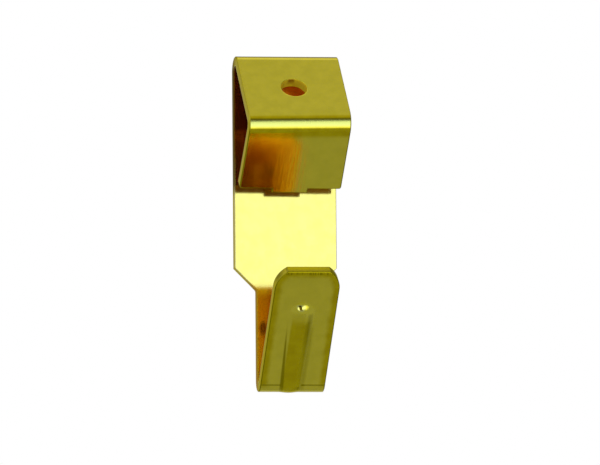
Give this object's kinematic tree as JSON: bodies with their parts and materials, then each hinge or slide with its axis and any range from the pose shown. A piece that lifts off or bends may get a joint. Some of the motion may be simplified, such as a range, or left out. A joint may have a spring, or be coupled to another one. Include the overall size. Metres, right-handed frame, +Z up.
{
  "type": "wall hook",
  "caption": "Polished brass wall hook folded from sheet: a triangular head with a slanting nail hole, a flat back plate and a ribbed lip that turns forward and up to hold a picture wire.",
  "frame": {"origin": "centre of the nail's exit hole, on the back face that lies against the wall", "axes": "+Z up, +Y back into the wall, +X to the right seen from the front; the head and the lip stand out towards -Y"},
  "size_m": [0.012, 0.0125, 0.0391],
  "materials": {
    "brass": "polished"
  },
  "bodies": {
    "root": {"wall_hook": "brass"}
  },
  "joints": []
}
